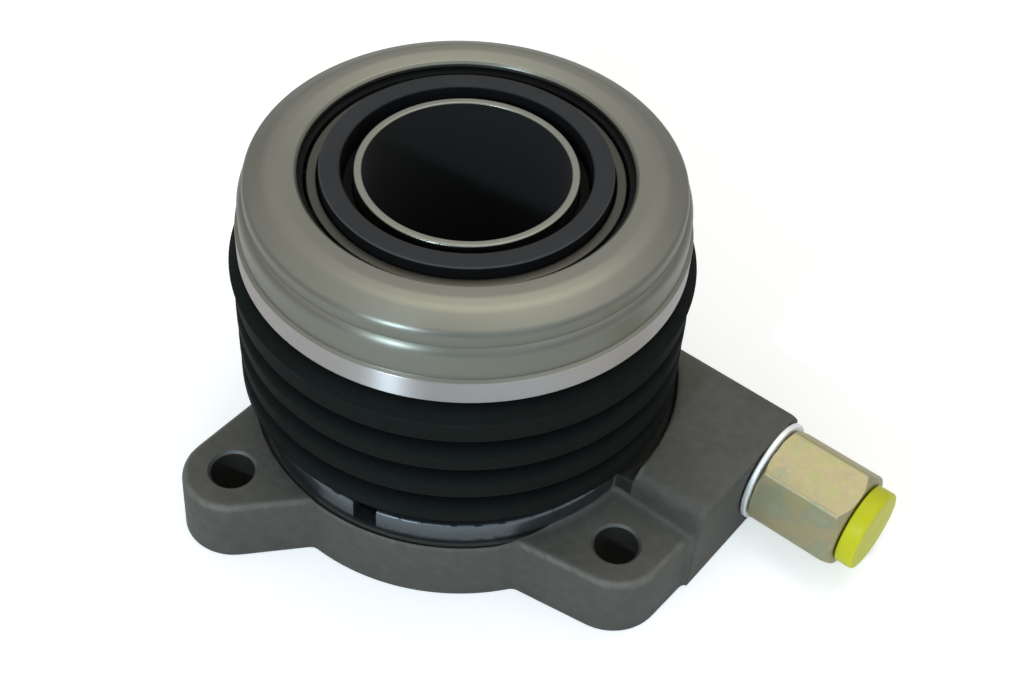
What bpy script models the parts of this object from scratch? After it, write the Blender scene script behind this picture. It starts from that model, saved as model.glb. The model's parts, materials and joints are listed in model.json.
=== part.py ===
"""Concentric slave cylinder with its release bearing, as CAD solids at rest.

Frame: the origin is where the axis of the bore meets the mounting face, +Z runs
along the bore towards the bearing, and +X is parallel to the inlet fitting.
The drawing values are millimetres; MM turns them into Blender's metres.
"""

import math

import bmesh
import bpy
import numpy as np
from mathutils import Vector

MM = 0.001
STEPS = 32          # facets of a turned piece
FIT = 0.3           # gap between pieces that touch in the real object

# Driving dimensions, radii first
BORE_R = 18.87      # inside of the guide tube
TUBE_WALL = 1.55
PISTON_WALL = 3.55
CYLINDER_WALL = 3.6
NECK_WALL = 1.68    # thin upper part of the piston
CARRIER_WALL = 3.9
RACE_LIP = 2.0      # width of the inner race's upper face
BALL_R = 4.0
BALL_COUNT = 14
RACE_BACK = 2.9     # inner race metal behind the balls
SHELL_WALL = 1.1
RIM_STEP = 0.72     # how far the shell's bottom band stands out
WIRE_R = 1.5        # preload spring wire
BOOT_WALL = 1.5
BOOT_BULGE = 1.18   # the boot's ridges stand this far outside the shell's band
COLLAR_WALL = 2.4
CAGE_WALL = 1.4
SEAL_R = 1.0        # section of the guide tube's O-ring

# Heights
PLATE_T = 14.0      # cast plate and lugs
FLOOR_Z = 9.6       # bottom of the pressure chamber
COLLAR_H = 4.4
STROKE = 13.0
SPRING_SPACE = 37.5  # plate to carrier flange, fully extended
FLANGE_T = 2.2
RACE_H = 14.7       # inner race
SHELL_RISE = 2.1    # shell's face above the inner race
SLEEVE_RISE = 2.2   # carrier's end above the inner race
BAND_H = 5.3        # shell's bottom band
TUBE_H = 71.4       # top of the guide tube above the mounting face
NECK_DROP = 5.4     # piston's end below the guide tube's
SEAT_Z = 3.2        # shoulder that the guide tube's flange meets
CLIP_Z = 0.4        # groove of the tube's clip
CLIP_H = 1.1
FOOT_RING_H = 3.4
HEAD_L = 5.4        # guided length of the piston
SUPPORT_T = 0.8
LIP_H = 2.7
WIPER_H = 1.5
SPRING_SEAT_T = 1.5
SPRING_TURNS = 5.0
POCKET_T = 7.5      # depth of the pockets under the plate

# Bolt lugs: (azimuth in degrees, distance from the axis)
LUGS = {"left": (-111.8, 49.8), "right": (-13.5, 50.0), "rear": (117.4, 49.8)}
LUG_R = 9.8
BOLT_R = 4.25

# Inlet arm and the fitting on its end
ARM_END = 60.0
ARM_TOP = 21.5
ARM_FRONT = -1.4
ARM_BACK = 33.9
PORT_Y = 24.7
PORT_Z = 11.85
PORT_R = 6.2
PORT_DEPTH = 15.5
GALLERY_R = 1.8
STEM_L = 13.5       # adapter's stem in the port
HEX_AF = 19.0
HEX_L = 18.4
HEX_TURN = -15.0    # degrees
SOCKET_R = 5.3
SOCKET_L = 11.0
PLUG_R = 8.4
PLUG_T = 3.7
WASHER_R = 10.7
WASHER_T = 1.2

# Radii that follow
TUBE_R = BORE_R + TUBE_WALL
SEAL_MID = TUBE_R + 3.6
PISTON_IN = TUBE_R + FIT
PISTON_R = PISTON_IN + PISTON_WALL
CYL_IN = PISTON_R + FIT
CYL_OUT = CYL_IN + CYLINDER_WALL
COIL_R = CYL_OUT + 1.3 + WIRE_R
NECK_R = PISTON_IN + NECK_WALL
CARRIER_IN = NECK_R + FIT
CARRIER_R = CARRIER_IN + CARRIER_WALL
RACE_IN = CARRIER_R + FIT
FACE_R = RACE_IN + RACE_LIP
PITCH_R = RACE_IN + RACE_BACK + BALL_R
GROOVE = BALL_R + FIT
OUTER_R = PITCH_R + BALL_R + 2.2
SHELL_IN = OUTER_R + FIT
SHELL_R = SHELL_IN + SHELL_WALL
RIM_R = SHELL_R + RIM_STEP
OPEN_R = FACE_R + 1.5
RIDGE_R = RIM_R + BOOT_BULGE
PLATE_R = RIM_R + 0.23
COLLAR_R = PLATE_R - 2.28
COLLAR_IN = COLLAR_R - COLLAR_WALL
FOOT_R = COLLAR_IN - FIT
FLANGE_R = COLLAR_IN + 0.4
CORE_R = (CYL_OUT + COLLAR_IN) / 2   # lugs and arm start inside the plate here

# Heights that follow
CARRIER_Z = PLATE_T + SPRING_SPACE
FLANGE_Z = CARRIER_Z + FLANGE_T
RACE_Z = FLANGE_Z + 1.7
RACE_TOP = RACE_Z + RACE_H
BALL_Z = (RACE_Z + RACE_TOP) / 2 - 0.35
WALL_TOP = CARRIER_Z - STROKE - 1.8
SHOULDER_Z = WALL_TOP - 2.5
PISTON_Z = SHOULDER_Z - HEAD_L
NECK_TOP = TUBE_H - NECK_DROP
SHELL_Z = RACE_Z + 0.2
SHELL_TOP = RACE_TOP + SHELL_RISE
OUTER_TOP = SHELL_TOP - 3.2

PARTS = CUTTERS = None


def start():
    """Empty the scene and make one collection for parts and one for cutters."""
    global PARTS, CUTTERS
    for obj in list(bpy.data.objects):
        bpy.data.objects.remove(obj, do_unlink=True)
    for collection in list(bpy.data.collections):
        bpy.data.collections.remove(collection)
    PARTS = bpy.data.collections.new("concentric_slave_cylinder")
    CUTTERS = bpy.data.collections.new("cutters")
    for collection in (PARTS, CUTTERS):
        bpy.context.scene.collection.children.link(collection)
    CUTTERS.hide_render = True


def material(name, colour, metallic, roughness):
    mat = bpy.data.materials.new(name)
    mat.use_nodes = True
    shader = mat.node_tree.nodes["Principled BSDF"]
    shader.inputs["Base Color"].default_value = (*colour, 1)
    shader.inputs["Metallic"].default_value = metallic
    shader.inputs["Roughness"].default_value = roughness
    mat.diffuse_color = (*colour, 1)
    return mat


def add(name, data, look=None):
    """Link an object as a part when it has a look, and as a cutter otherwise."""
    obj = bpy.data.objects.new(name, data)
    (PARTS if look else CUTTERS).objects.link(obj)
    if look:
        data.materials.append(material(name, *look))
    else:
        obj.hide_render = True
        obj.display_type = "WIRE"
    return obj


def turned(name, profile, look=None, steps=STEPS):
    """Turn a closed (radius, height) outline about Z; it runs down the outside."""
    mesh = bpy.data.meshes.new(name)
    count = len(profile)
    mesh.from_pydata([(r * MM, 0, z * MM) for r, z in profile],
                     [(i, (i + 1) % count) for i in range(count)], [])
    obj = add(name, mesh, look)
    screw = obj.modifiers.new("turn", "SCREW")
    screw.steps = screw.render_steps = steps
    screw.use_merge_vertices = True
    screw.merge_threshold = 0.00001
    return obj


def tube(name, outer, inner, top, bottom, look=None, steps=STEPS):
    return turned(name, [(outer, top), (outer, bottom), (inner, bottom), (inner, top)],
                  look, steps)


def layered(name, layers, look=None):
    """A closed solid through outlines with equal numbers of (x, y, z) points."""
    mesh = bpy.data.meshes.new(name)
    count = len(layers[0])
    points = [tuple(c * MM for c in point) for layer in layers for point in layer]
    faces = [tuple(reversed(range(count)))]
    for k in range(len(layers) - 1):
        low, high = k * count, (k + 1) * count
        for i in range(count):
            j = (i + 1) % count
            faces.append((low + i, low + j, high + j, high + i))
    faces.append(tuple(range(len(points) - count, len(points))))
    mesh.from_pydata(points, [], faces)
    return add(name, mesh, look)


def rod(name, radius, start_at, end_at, look=None, sides=24):
    """A cylinder between two points."""
    a, b = Vector(start_at), Vector(end_at)
    turn = (b - a).to_track_quat("Z", "Y")
    layers = []
    for end in (a, b):
        ring = []
        for k in range(sides):
            t = 2 * math.pi * (k + 0.5) / sides
            side = Vector((radius * math.cos(t), radius * math.sin(t), 0))
            ring.append(tuple(end + turn @ side))
        layers.append(ring)
    return layered(name, layers, look)


def box(name, low, high, look=None):
    (x0, y0, z0), (x1, y1, z1) = low, high
    outline = [(x0, y0), (x1, y0), (x1, y1), (x0, y1)]
    return layered(name, [[(x, y, z) for x, y in outline] for z in (z0, z1)], look)


def combine(obj, other, operation):
    step = obj.modifiers.new(other.name, "BOOLEAN")
    step.operation = operation
    step.solver = "EXACT"
    step.object = other


def cut(obj, *others):
    for other in others:
        combine(obj, other, "DIFFERENCE")


def join(obj, *others):
    for other in others:
        combine(obj, other, "UNION")


def polar(azimuth, radius, z=0.0):
    t = math.radians(azimuth)
    return (radius * math.cos(t), radius * math.sin(t), z)


def arc(centre, radius, first, last, count):
    """(r, z) points of an arc about a centre, angles in degrees."""
    angles = np.radians(np.linspace(first, last, count))
    return [(centre[0] + radius * math.cos(t), centre[1] + radius * math.sin(t))
            for t in angles]


def hull(corners, inset, per_corner=6):
    """Outline round circles (x, y, radius) that are given anticlockwise."""
    points = []
    count = len(corners)
    for i, (x, y, r) in enumerate(corners):
        turns = []
        for a, b in ((corners[i - 1], corners[i]), (corners[i], corners[(i + 1) % count])):
            dx, dy = b[0] - a[0], b[1] - a[1]
            along = math.atan2(dy, dx)
            tilt = math.asin((a[2] - b[2]) / math.hypot(dx, dy))
            turns.append(along - math.pi / 2 + tilt)
        if turns[1] < turns[0]:
            turns[1] += 2 * math.pi
        for t in np.linspace(turns[0], turns[1], per_corner):
            points.append((x + (r - inset) * math.cos(t), y + (r - inset) * math.sin(t)))
    return points


def cast_block(name, corners):
    """A lug as cast: it leans in with height and its top edge is broken."""
    levels = ((0.0, -0.45), (PLATE_T - 1.0, 0.0), (PLATE_T - 0.3, 0.3), (PLATE_T, 1.0))
    return layered(name, [[(x, y, z) for x, y in hull(corners, inset)]
                          for z, inset in levels])


def core():
    """Plate, cylinder wall, pressure chamber and the tube's seat in one turn."""
    seal_out, seal_in = SEAL_MID + 1.7 * SEAL_R, SEAL_MID - 1.7 * SEAL_R
    return turned("housing", [
        (CYL_OUT, WALL_TOP), (CYL_OUT, PLATE_T), (PLATE_R - 1.5, PLATE_T),
        (PLATE_R - 0.8, PLATE_T - 0.3), (PLATE_R - 0.5, PLATE_T - 1.0), (PLATE_R, 0),
        (CYL_OUT, 0), (CYL_OUT, CLIP_Z), (CYL_OUT + 1.2, CLIP_Z),
        (CYL_OUT + 1.2, CLIP_Z + CLIP_H), (CYL_OUT, CLIP_Z + CLIP_H), (CYL_OUT, SEAT_Z),
        (seal_out, SEAT_Z), (seal_out, SEAT_Z + 2.5 * SEAL_R),
        (seal_in, SEAT_Z + 2.5 * SEAL_R), (seal_in, SEAT_Z), (TUBE_R + FIT, SEAT_Z),
        (TUBE_R + FIT, FLOOR_Z),
        (CYL_IN, FLOOR_Z), (CYL_IN, WALL_TOP - 2.4), (CYL_IN + 1.3, WALL_TOP - 2.4),
        (CYL_IN + 1.3, WALL_TOP - 0.9), (CYL_IN, WALL_TOP - 0.9), (CYL_IN, WALL_TOP)],
        ((0.16, 0.155, 0.14), 0.6, 0.6))


def lug_blocks():
    """Three lugs; each hull runs from its bolt to corners inside the plate."""
    inner = {"left": ((-90.3, 2.88), (-135.0, -4.64), (-136.5, 1.95)),
             "right": ((11.3, -2.33), (-43.9, -0.18)),
             "rear": ((168.1, 3.36), (157.4, -6.92), (84.3, 2.25))}
    blocks = []
    for key, (azimuth, reach) in LUGS.items():
        corners = [polar(azimuth, reach, LUG_R)]
        if key == "right":
            corners.append((ARM_END - 3.8, ARM_FRONT + 3.4, 2.6))
        corners += [polar(turn, CORE_R + out, 3.0) for turn, out in inner[key]]
        block = cast_block("lug_" + key, corners)
        cut(block, tube("room_" + key, CORE_R, 1.0, PLATE_T + 9, -9.0))
        blocks.append(block)
    return blocks


def arm_block():
    """The inlet arm: one section in y and z, run along X to the end face."""
    section = [(ARM_FRONT - 0.3, 0.0)]
    section += [(ARM_FRONT + 0.4, ARM_TOP - 3.4)]
    section += arc((ARM_FRONT + 3.7, ARM_TOP - 3.2), 3.2, 165, 90, 4)
    section += arc((ARM_BACK - 4.0, ARM_TOP - 4.0), 4.0, 90, 0, 5)
    section += [(ARM_BACK + 0.5, 0.0)]
    ends = ((12.0, 0.0), (ARM_END - 0.7, 0.0), (ARM_END - 0.2, 0.2), (ARM_END, 0.6))
    middle = (PORT_Y - 6.0, PORT_Z - 2.0)
    layers = []
    for x, inset in ends:
        ring = []
        for y, z in section:
            if z > 0:
                length = math.hypot(y - middle[0], z - middle[1])
                y += (middle[0] - y) / length * inset
                z += (middle[1] - z) / length * inset
            ring.append((x, y, z))
        layers.append(list(reversed(ring)))
    return layered("arm", layers)


def port_cutters():
    bottom = ARM_END - PORT_DEPTH
    port = rod("port_hole", PORT_R, (bottom, PORT_Y, PORT_Z),
               (ARM_END + 2, PORT_Y, PORT_Z))
    gallery = rod("gallery", GALLERY_R, (3.0, PORT_Y, PORT_Z),
                  (bottom + 1.5, PORT_Y, PORT_Z), sides=12)
    return port, gallery


def bolt_cutters():
    """Each bolt hole is drilled through and its top edge is broken."""
    cutters = []
    for key, (azimuth, reach) in LUGS.items():
        x, y, _ = polar(azimuth, reach)
        hole = turned("bolt_" + key, [(0, PLATE_T + 2), (BOLT_R + 2.5, PLATE_T + 2),
                                      (BOLT_R, PLATE_T - 0.5), (BOLT_R, -2), (0, -2)],
                      steps=20)
        hole.location = (x * MM, y * MM, 0)
        cutters.append(hole)
    return cutters


def pockets():
    """Weight-saving pockets under the plate, clear of the bolt lugs."""
    cutters = []
    for k, azimuth in enumerate((-62.0, 55.0, 175.0)):
        layers = []
        for z, grow in ((-1.0, 0.4), (POCKET_T, 0.0)):
            ring = []
            for r, span in ((CYL_OUT + 3.6 - grow, (-20, 20)),
                            (PLATE_R - 4.35 + grow, (20, -20))):
                for t in np.linspace(span[0], span[1], 7):
                    ring.append(polar(azimuth + t, r, z))
            layers.append(list(reversed(ring)))
        cutters.append(layered("pocket_%d" % k, layers))
    return cutters


def arm():
    """The arm, cleared of the room that the boot needs inside and above the collar."""
    block = arm_block()
    cut(block, tube("core_room", CORE_R, 1.0, ARM_TOP + 11, -9.0))
    cut(block, tube("foot_room", COLLAR_R - COLLAR_WALL / 2, 2.0, ARM_TOP + 9,
                    PLATE_T - 0.6))
    cut(block, tube("boot_room", RIDGE_R + 0.7, 3.0, ARM_TOP + 7,
                    PLATE_T + COLLAR_H))
    return block


def collar():
    """Raised ring round the boot's foot, with a drain notch at the front."""
    ring = tube("collar", COLLAR_R, COLLAR_IN, PLATE_T + COLLAR_H, PLATE_T - 1.0)
    corners = ((-80, COLLAR_IN - 2), (-80, COLLAR_R + 2), (-73, COLLAR_R + 2),
               (-73, COLLAR_IN - 2))
    cut(ring, layered("notch", [[polar(azimuth, r, z) for azimuth, r in corners]
                                for z in (PLATE_T + 0.1, PLATE_T + COLLAR_H + 4)]))
    return ring


def housing():
    body = core()
    join(body, *lug_blocks())
    join(body, arm(), collar())
    cut(body, *pockets())
    cut(body, *bolt_cutters())
    cut(body, *port_cutters())


def guide_tube():
    low, flange = SEAT_Z - 1.5, SEAT_Z - FIT
    turned("guide_tube", [(TUBE_R - 0.3, TUBE_H), (TUBE_R, TUBE_H - 0.4),
                          (TUBE_R, flange), (CYL_OUT - FIT, flange),
                          (CYL_OUT - FIT, low), (BORE_R + 0.6, low),
                          (BORE_R, low + 0.8), (BORE_R, TUBE_H - 0.4),
                          (BORE_R + 0.3, TUBE_H)],
           ((0.62, 0.61, 0.57), 1.0, 0.3))


def tube_seal():
    centre = (SEAL_MID, SEAT_Z + SEAL_R + 0.15)
    turned("tube_seal", arc(centre, SEAL_R, 90, -210, 6), ((0.02, 0.02, 0.02), 0.0, 0.6))


def tube_clip():
    clip = tube("tube_clip", CYL_OUT + 0.9, CYL_OUT - 1.6, CLIP_Z + 0.9, CLIP_Z + 0.2,
                ((0.30, 0.30, 0.31), 1.0, 0.4))
    cut(clip, box("clip_gap", (CYL_OUT - 5, -3.0, -1), (CYL_OUT + 5, 3.0, 3)))


def stop_ring():
    ring = tube("stop_ring", CYL_IN + 1.0, CYL_IN - 0.45, WALL_TOP - 1.2,
                WALL_TOP - 2.1, ((0.30, 0.30, 0.31), 1.0, 0.4))
    cut(ring, box("stop_gap", (-CYL_IN - 5, -2.5, WALL_TOP - 4),
                  (-CYL_IN + 5, 2.5, WALL_TOP + 4)))


def piston():
    waist = PISTON_R - 0.9
    turned("piston", [(NECK_R, NECK_TOP), (NECK_R, CARRIER_Z - 0.5),
                      (waist, CARRIER_Z - 0.5), (waist, SHOULDER_Z + 0.3),
                      (PISTON_R, SHOULDER_Z), (PISTON_R, PISTON_Z + 0.4),
                      (PISTON_R - 0.4, PISTON_Z), (PISTON_IN, PISTON_Z),
                      (PISTON_IN, NECK_TOP)],
           ((0.05, 0.05, 0.055), 0.0, 0.5))


def piston_packing():
    """Support ring, and below it the lip seal with its groove facing down."""
    tube("support_ring", PISTON_R, PISTON_IN, PISTON_Z - FIT,
         PISTON_Z - FIT - SUPPORT_T, ((0.75, 0.73, 0.66), 0.0, 0.5))
    top = PISTON_Z - 2 * FIT - SUPPORT_T
    low, heel = top - LIP_H, top - 0.45 * LIP_H
    mid = (PISTON_R + PISTON_IN) / 2
    turned("piston_seal", [(PISTON_R - 0.2, top), (PISTON_R - 0.2, heel),
                           (PISTON_R, low + 0.2), (PISTON_R - 0.7, low),
                           (mid, top - LIP_H / 2), (PISTON_IN + 0.7, low),
                           (PISTON_IN, low + 0.2), (PISTON_IN + 0.2, heel),
                           (PISTON_IN + 0.2, top)],
           ((0.02, 0.02, 0.02), 0.0, 0.6))


def wiper_ring():
    base = NECK_TOP + FIT
    top = base + WIPER_H
    turned("wiper_ring", [(NECK_R, top), (NECK_R, base), (PISTON_IN + 0.5, base),
                          (PISTON_IN, top)], ((0.03, 0.03, 0.03), 0.0, 0.7))


def carrier():
    """Black sleeve with a flange: it holds the bearing and the boot's top."""
    top = RACE_TOP + SLEEVE_RISE
    turned("bearing_carrier", [(CARRIER_R - 0.5, top), (CARRIER_R, top - 0.5),
                               (CARRIER_R, FLANGE_Z), (FLANGE_R, FLANGE_Z),
                               (FLANGE_R, CARRIER_Z), (COIL_R + WIRE_R + 1.6, CARRIER_Z),
                               (COIL_R + WIRE_R + 1.2, CARRIER_Z + 0.6),
                               (CARRIER_IN + 3.2, CARRIER_Z + 0.6),
                               (CARRIER_IN + 2.6, CARRIER_Z), (CARRIER_IN, CARRIER_Z),
                               (CARRIER_IN, top - 0.6), (CARRIER_IN + 0.6, top)],
           ((0.03, 0.03, 0.032), 0.0, 0.45))


def wave_washer():
    """Thin spring washer with four waves between the flange and the bearing."""
    steps, inner, outer = STEPS, RACE_IN + 0.5, RACE_IN + 4.2
    layers = []
    for k in range(steps):
        t = 2 * math.pi * k / steps
        z = FLANGE_Z + 0.7 + 0.25 * math.cos(4 * t)
        layers.append([(r * math.cos(t), r * math.sin(t), z + up)
                       for r, up in ((inner, -0.2), (outer, -0.2), (outer, 0.3), (inner, 0.3))])
    mesh = bpy.data.meshes.new("wave_washer")
    points = [tuple(c * MM for c in p) for layer in layers for p in layer]
    faces = []
    for k in range(steps):
        a, b = 4 * k, 4 * ((k + 1) % steps)
        for i in range(4):
            j = (i + 1) % 4
            faces.append((a + i, b + i, b + j, a + j))
    mesh.from_pydata(points, [], faces)
    add("wave_washer", mesh, ((0.35, 0.35, 0.36), 1.0, 0.35))


def inner_race():
    """Its groove lies under the balls and below them, where the thrust goes."""
    groove = arc((PITCH_R, BALL_Z), GROOVE, 180, 251, 5)
    turned("inner_race", [(FACE_R - 0.3, RACE_TOP), (FACE_R, RACE_TOP - 0.3),
                          (FACE_R, BALL_Z + 3.2)] + groove +
           [(PITCH_R - 1.4, RACE_Z + 1.2), (PITCH_R - 2.0, RACE_Z), (RACE_IN, RACE_Z),
            (RACE_IN, RACE_TOP)], ((0.42, 0.42, 0.41), 1.0, 0.25))


def outer_race():
    """Its groove lies outside the balls and above them."""
    top, low = OUTER_TOP, BALL_Z - BALL_R
    groove = arc((PITCH_R, BALL_Z), GROOVE, 0, 71, 5)
    turned("outer_race", [(OUTER_R - 2.2, top), (OUTER_R - 1.3, top - 2.2),
                          (OUTER_R - 0.3, top - 4.6), (OUTER_R - 0.3, low),
                          (PITCH_R + GROOVE, low)] + groove +
           [(PITCH_R + 1.4, top)], ((0.42, 0.42, 0.41), 1.0, 0.25))


def shell():
    """Drawn steel cover: crowned face, two rolled shoulders, skirt and band."""
    z, r = SHELL_TOP, SHELL_R
    outside = [(OPEN_R, z - 0.6), (OPEN_R + 0.4, z), (OPEN_R + 2.6, z + 0.35),
               (OPEN_R + 5.6, z + 0.2), (r - 3.4, z - 0.5), (r - 2.0, z - 1.7),
               (r - 1.15, z - 3.2), (r - 1.05, z - 4.4), (r - 0.55, z - 5.0),
               (r - 0.1, z - 5.9), (r, z - 7.0), (r, SHELL_Z + BAND_H),
               (RIM_R, SHELL_Z + BAND_H - 0.6), (RIM_R, SHELL_Z + 0.3),
               (RIM_R - 0.3, SHELL_Z)]
    inside = [(SHELL_IN + 0.5, SHELL_Z), (SHELL_IN, SHELL_Z + 0.5), (SHELL_IN, z - 7.2),
              (r - 1.75, z - 5.6), (r - 2.1, z - 3.6), (r - 2.9, z - 2.4),
              (r - 3.8, z - 1.5), (OPEN_R + 5.5, z - 0.9), (OPEN_R + 0.5, z - 1.1),
              (OPEN_R, z - 1.3)]
    turned("bearing_shell", outside + inside, ((0.60, 0.59, 0.54), 1.0, 0.32), 40)


def bearing_seals():
    """Dust ring seen in the shell's opening, and the shield below the balls."""
    low = OUTER_TOP + FIT
    tube("dust_ring", PITCH_R + 2.6, FACE_R + 0.5, low + 1.0, low,
         ((0.02, 0.02, 0.022), 0.0, 0.6))
    top = BALL_Z - BALL_R - 1.3
    tube("lower_shield", SHELL_IN - FIT, PITCH_R - CAGE_WALL / 2, top, top - 0.8,
         ((0.45, 0.45, 0.43), 1.0, 0.35))


def balls():
    names = []
    for k in range(BALL_COUNT):
        mesh = bpy.data.meshes.new("ball")
        ball = bmesh.new()
        bmesh.ops.create_uvsphere(ball, u_segments=8, v_segments=6, radius=BALL_R * MM)
        ball.to_mesh(mesh)
        ball.free()
        obj = add("ball_%02d" % (k + 1), mesh, ((0.7, 0.7, 0.7), 1.0, 0.12))
        x, y, z = polar(360.0 * k / BALL_COUNT, PITCH_R, BALL_Z)
        obj.location = (x * MM, y * MM, z * MM)
        names.append(obj.name)
    return names


def cage():
    """A band on the pitch circle with a round pocket for each ball."""
    body = tube("ball_cage", PITCH_R + CAGE_WALL / 2, PITCH_R - CAGE_WALL / 2,
                BALL_Z + BALL_R + 0.9, BALL_Z - BALL_R - 0.7,
                ((0.45, 0.33, 0.14), 0.7, 0.4), 28)
    for k in range(BALL_COUNT):
        azimuth = 360.0 * k / BALL_COUNT
        cut(body, rod("pocket_ball_%d" % k, BALL_R + FIT + 0.1,
                      polar(azimuth, PITCH_R - 4, BALL_Z),
                      polar(azimuth, PITCH_R + 4, BALL_Z), sides=8))


def spring():
    """Preload spring round the cylinder wall, with a closed first and last turn."""
    curve = bpy.data.curves.new("preload_spring", "CURVE")
    curve.dimensions = "3D"
    curve.bevel_depth = WIRE_R * MM
    curve.bevel_resolution = 1
    curve.use_fill_caps = True
    turns, per_turn = SPRING_TURNS, 16
    low = PLATE_T + SPRING_SEAT_T + 2 * FIT + 0.1 + WIRE_R
    high = CARRIER_Z - FIT - WIRE_R
    dead = 2 * WIRE_R + 0.4     # rise of each end turn
    count = int(turns * per_turn) + 1
    line = curve.splines.new("POLY")
    line.points.add(count - 1)
    middle = (high - low - 2 * dead) / (turns - 2)
    for k in range(count):
        turn = k / per_turn
        z = (low + dead * min(turn, 1.0) + middle * min(max(turn - 1, 0), turns - 2)
             + dead * max(turn - (turns - 1), 0))
        x, y, _ = polar(360.0 * turn, COIL_R)
        line.points[k].co = (x * MM, y * MM, z * MM, 1)
    add("preload_spring", curve, ((0.25, 0.25, 0.26), 1.0, 0.4))


def spring_seat():
    low = PLATE_T + FIT
    tube("spring_seat", COIL_R + WIRE_R + 0.6, CYL_OUT + FIT, low + SPRING_SEAT_T, low,
         ((0.4, 0.4, 0.4), 1.0, 0.4))


def boot_line():
    """Middle of the boot's wall, from its top on the carrier to its foot."""
    out = RIDGE_R - BOOT_WALL / 2
    valley = out - 3.3
    top = FLANGE_Z + FIT + BOOT_WALL / 2
    line = [(FLANGE_R - 2.6, top), (out - 2.5, top), (out + 0.6, CARRIER_Z + 0.8),
            (out, CARRIER_Z - 0.9)]
    pitch = (CARRIER_Z - PLATE_T - 12.7) / 3.22
    bottom = CARRIER_Z - 3.9
    for k in range(3):
        line += [(out, bottom - k * pitch), (valley, bottom - k * pitch - 1.4),
                 (valley, bottom - k * pitch - 2.7), (out, bottom - k * pitch - 4.0)]
    foot = bottom - 3 * pitch + 0.9
    line += [(out, foot), (FOOT_R - BOOT_WALL / 2, foot - 2.6),
             (FOOT_R - BOOT_WALL / 2, PLATE_T + FIT)]
    return line


def boot():
    """The wall is the middle line moved half a wall to each side."""
    line = [Vector(point) for point in boot_line()]
    outer, inner = [], []
    for i, point in enumerate(line):
        before = (point - line[i - 1]).normalized() if i else None
        after = (line[i + 1] - point).normalized() if i < len(line) - 1 else None
        before, after = before or after, after or before
        side = Vector((-(before + after).y, (before + after).x)).normalized()
        stretch = min(1 / max(side.dot(Vector((-before.y, before.x))), 0.1), 1.6)
        outer.append(point + side * stretch * BOOT_WALL / 2)
        inner.append(point - side * stretch * BOOT_WALL / 2)
    profile = [tuple(p) for p in outer] + [tuple(p) for p in reversed(inner)]
    turned("boot", profile, ((0.018, 0.02, 0.019), 0.0, 0.55))


def boot_foot_ring():
    outer = FOOT_R - BOOT_WALL - FIT
    low = PLATE_T + FIT
    tube("boot_foot_ring", outer, outer - 1.1, low + FOOT_RING_H, low,
         ((0.45, 0.45, 0.43), 1.0, 0.35))


def to_port(obj):
    """Lay a piece that was turned about Z along the inlet's axis."""
    obj.rotation_euler = (0, math.pi / 2, 0)
    obj.location = (0, PORT_Y * MM, PORT_Z * MM)
    return obj


def crush_washer():
    low = ARM_END + FIT
    to_port(tube("crush_washer", WASHER_R, PORT_R + 0.1, low + WASHER_T, low,
                 ((0.85, 0.86, 0.88), 1.0, 0.25)))


def adapter():
    """Hex adapter: a stem in the port, and a hex with a socket in its end."""
    low = ARM_END + WASHER_T + 2 * FIT
    high = low + HEX_L
    corner = HEX_AF / math.sqrt(3)
    body = to_port(turned("hose_adapter", [
        (corner - 1.3, high), (corner + 0.1, high - 1.6), (corner + 0.1, low + 0.9),
        (corner - 1.2, low), (PORT_R - FIT, low), (PORT_R - FIT, ARM_END - STEM_L),
        (2.0, ARM_END - STEM_L), (2.0, high - SOCKET_L), (SOCKET_R, high - SOCKET_L),
        (SOCKET_R, high)], ((0.72, 0.62, 0.35), 1.0, 0.35)))
    sides = []
    for x in (ARM_END - STEM_L - 8, high + 5):
        ring = []
        for k in range(6):
            t = math.radians(HEX_TURN + 60 * k)
            ring.append((x, PORT_Y - corner * math.sin(t), PORT_Z + corner * math.cos(t)))
        sides.append(ring)
    combine(body, layered("hexagon", sides), "INTERSECT")


def plug():
    """Yellow transport plug: a head outside and a hollow stem in the socket."""
    low = ARM_END + WASHER_T + 3 * FIT + HEX_L
    end = low - SOCKET_L + 2.0
    to_port(turned("port_plug", [
        (PLUG_R - 0.4, low + PLUG_T), (PLUG_R, low + PLUG_T - 0.4), (PLUG_R, low + 0.3),
        (PLUG_R - 0.3, low), (SOCKET_R - 0.4, low), (SOCKET_R - 0.7, end),
        (SOCKET_R - 2.3, end), (SOCKET_R - 2.3, low + 1.5), (0, low + 1.5),
        (0, low + PLUG_T)], ((0.78, 0.80, 0.04), 0.0, 0.35)))


def main():
    start()
    housing()
    guide_tube()
    tube_seal()
    tube_clip()
    stop_ring()
    piston()
    piston_packing()
    wiper_ring()
    carrier()
    wave_washer()
    inner_race()
    outer_race()
    shell()
    bearing_seals()
    balls()
    cage()
    spring()
    spring_seat()
    boot()
    boot_foot_ring()
    crush_washer()
    adapter()
    plug()


main()
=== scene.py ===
# %% [markdown]
# A concentric slave cylinder with its release bearing, dressed for the camera.
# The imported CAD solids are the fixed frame: they say where everything is, and
# what moves with what. Each piece below is made in the same frame, in metres,
# and then rides on its CAD body, so one script looks right at every pose.

# %% Load the frame
import json
import math

import bmesh
import bpy
import numpy as np
from mathutils import Matrix, Vector

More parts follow.
